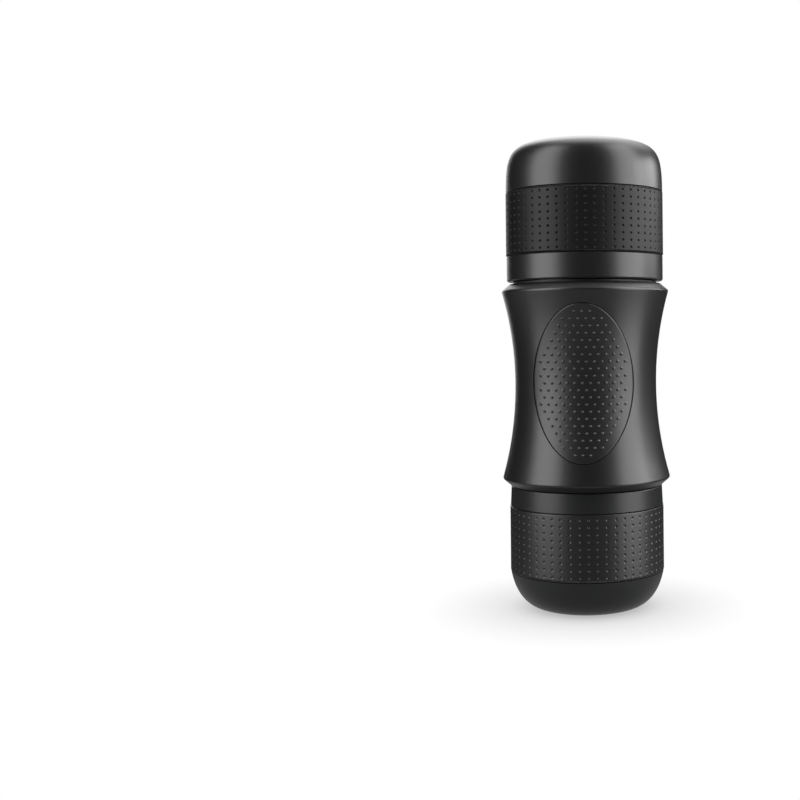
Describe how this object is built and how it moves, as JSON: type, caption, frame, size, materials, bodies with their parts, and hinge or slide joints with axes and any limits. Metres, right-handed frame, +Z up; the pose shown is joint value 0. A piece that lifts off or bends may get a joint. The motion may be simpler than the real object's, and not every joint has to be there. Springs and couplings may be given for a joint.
{
  "type": "handheld manual espresso maker",
  "caption": "Handheld pump espresso maker: domed water tank, hourglass body with a thumb pad and an oblique pump piston, domed outlet head inside a cup it stands on.",
  "frame": {"origin": "centre of the cup's flat base", "axes": "+Z up along the body axis from cup to tank, -Y towards the thumb pad, +Y towards the pump piston"},
  "size_m": [0.0624, 0.0875, 0.1735],
  "materials": {
    "satin_abs": "satin moulded",
    "soft_grip": "soft-touch matt",
    "black_acetal": "smooth moulded",
    "grey_nylon": "moulded",
    "silicone": "matt",
    "steel": "bright drawn"
  },
  "bodies": {
    "body": {"body_shell": "satin_abs", "grip_pad": "soft_grip", "tank_collar": "black_acetal", "tank_seal": "silicone", "intake_strainer": "grey_nylon", "intake_tube": "grey_nylon", "pump_cylinder": "grey_nylon", "guide_collar": "black_acetal", "return_spring": "steel", "inlet_valve_spring": "steel", "outlet_valve_spring": "steel", "outlet_neck": "black_acetal", "water_head": "grey_nylon", "water_head_screws": "steel", "shower_screen": "steel", "screen_screw": "steel", "basket_gasket": "silicone"},
    "tank": {"tank_shell": "satin_abs", "tank_grip_band": "soft_grip"},
    "cup": {"cup_shell": "satin_abs", "cup_grip_band": "soft_grip"},
    "outlet": {"outlet_head": "satin_abs", "spout": "black_acetal", "filter_basket": "steel"},
    "piston": {"piston_head": "grey_nylon", "piston_ring": "silicone"},
    "knob": {"piston_rod": "black_acetal", "piston_knob": "black_acetal", "piston_screw": "steel"},
    "inlet_disc": {"inlet_valve": "silicone"},
    "outlet_disc": {"outlet_valve": "silicone"}
  },
  "joints": [
    {"name": "tank_lift", "type": "slide", "parent": "body", "child": "tank", "axis": [0, 0, 1], "range_m": [0, 0.06]},
    {"name": "cup_pull", "type": "slide", "parent": "body", "child": "cup", "axis": [0, 0, -1], "range_m": [0, 0.06]},
    {"name": "outlet_twist", "type": "hinge", "parent": "body", "child": "outlet", "pos_m": [0, 0, 0.007], "axis": [0, 0, 1], "range_deg": [0, 90]},
    {"name": "piston_slide", "type": "slide", "parent": "body", "child": "piston", "axis": [0, 0.8192, 0.5736], "range_m": [0, 0.029], "deforming": ["return_spring"]},
    {"name": "knob_twist", "type": "hinge", "parent": "piston", "child": "knob", "pos_m": [0, 0, 0.0728], "axis": [0, 0.8192, 0.5736], "range_deg": [0, 45]},
    {"name": "inlet_valve_open", "type": "slide", "parent": "body", "child": "inlet_disc", "axis": [0, 0, -1], "range_m": [0, 0.001], "stiffness_N_per_m": 40, "springref_m": -0.002, "deforming": ["inlet_valve_spring"]},
    {"name": "outlet_valve_open", "type": "slide", "parent": "body", "child": "outlet_disc", "axis": [0, 0, -1], "range_m": [0, 0.001], "stiffness_N_per_m": 40, "springref_m": -0.002, "deforming": ["outlet_valve_spring"]}
  ]
}
